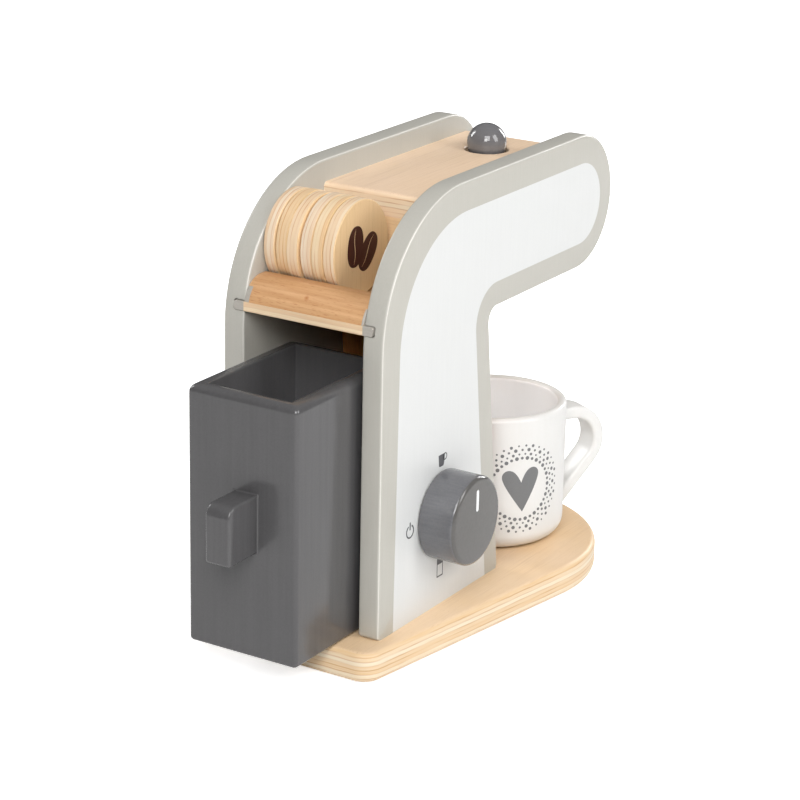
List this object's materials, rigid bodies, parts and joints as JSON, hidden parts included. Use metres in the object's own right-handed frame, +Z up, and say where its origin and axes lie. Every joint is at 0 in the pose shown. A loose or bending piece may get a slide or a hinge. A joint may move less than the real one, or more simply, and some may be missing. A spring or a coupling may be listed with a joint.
{
  "type": "toy coffee maker",
  "caption": "Wooden toy coffee maker with a tank drawn out at the rear, round pods in an open bay, a ball push button on top, a turning side knob and a mug under the arm.",
  "frame": {"origin": "middle of the base board's underside", "axes": "+Z up; -Y towards the front, where the mug stands; +Y towards the rear, where the tank is drawn out; +X to the right as seen from the front"},
  "size_m": [0.117, 0.2281, 0.1781],
  "materials": {
    "plywood": "clear-lacquered birch plywood with bare plies at the edges",
    "beech": "smooth beech, bare or clear-lacquered",
    "panel_paint": "satin taupe-grey paint on wood, with a white painted field on the outer face",
    "grey_paint": "glossy dark grey paint on wood",
    "white_paint": "satin white paint on wood",
    "steel": "zinc-plated steel"
  },
  "bodies": {
    "body": {"base_board": "plywood", "left_side_panel": "panel_paint", "right_side_panel": "panel_paint", "top_board": "plywood", "pod_bay_board": "plywood", "pod_shelf": "plywood", "pod_stop_rail": "beech", "column_board": "plywood", "arm_board": "plywood", "nose_board": "plywood", "spout": "grey_paint", "board_dowels": "beech", "base_screws": "steel", "button_guide": "plywood", "button_spring": "steel"},
    "tank": {"tank_rear_wall": "grey_paint", "tank_front_wall": "grey_paint", "tank_left_wall": "grey_paint", "tank_right_wall": "grey_paint", "tank_floor": "grey_paint", "tank_handle": "grey_paint", "tank_handle_screws": "steel"},
    "button": {"button_ball": "grey_paint", "button_stem": "beech", "button_ring": "steel"},
    "knob": {"knob": "grey_paint", "knob_spindle": "beech", "knob_washer": "steel", "knob_screw": "steel"},
    "mug": {"mug_body": "white_paint", "mug_handle": "white_paint"},
    "pod_1": {"pod_1": "plywood"},
    "pod_2": {"pod_2": "plywood"},
    "pod_3": {"pod_3": "plywood"},
    "pod_4": {"pod_4": "plywood"},
    "pod_5": {"pod_5": "plywood"},
    "pod_6": {"pod_6": "plywood"}
  },
  "joints": [
    {"name": "tank_slide", "type": "slide", "parent": "body", "child": "tank", "axis": [0, 1, 0], "range_m": [-0.038, 0.045]},
    {"name": "button_press", "type": "slide", "parent": "body", "child": "button", "axis": [0, 0, -1], "range_m": [0, 0.004], "stiffness_N_per_m": 300, "springref_m": -0.004, "deforming": ["button_spring"]},
    {"name": "knob_turn", "type": "hinge", "parent": "body", "child": "knob", "pos_m": [-0.035, 0.0353, 0.0495], "axis": [-1, 0, 0], "continuous": true},
    {"name": "mug_slide", "type": "slide", "parent": "body", "child": "mug", "axis": [0, -1, 0], "range_m": [0, 0.085]},
    {"name": "pod_1_lift", "type": "slide", "parent": "body", "child": "pod_1", "axis": [0, 0, 1], "range_m": [0, 0.05]},
    {"name": "pod_2_lift", "type": "slide", "parent": "body", "child": "pod_2", "axis": [0, 0, 1], "range_m": [0, 0.05]},
    {"name": "pod_3_lift", "type": "slide", "parent": "body", "child": "pod_3", "axis": [0, 0, 1], "range_m": [0, 0.05]},
    {"name": "pod_4_lift", "type": "slide", "parent": "body", "child": "pod_4", "axis": [0, 0, 1], "range_m": [0, 0.05]},
    {"name": "pod_5_lift", "type": "slide", "parent": "body", "child": "pod_5", "axis": [0, 0, 1], "range_m": [0, 0.05]},
    {"name": "pod_6_lift", "type": "slide", "parent": "body", "child": "pod_6", "axis": [0, 0, 1], "range_m": [0, 0.05]}
  ]
}
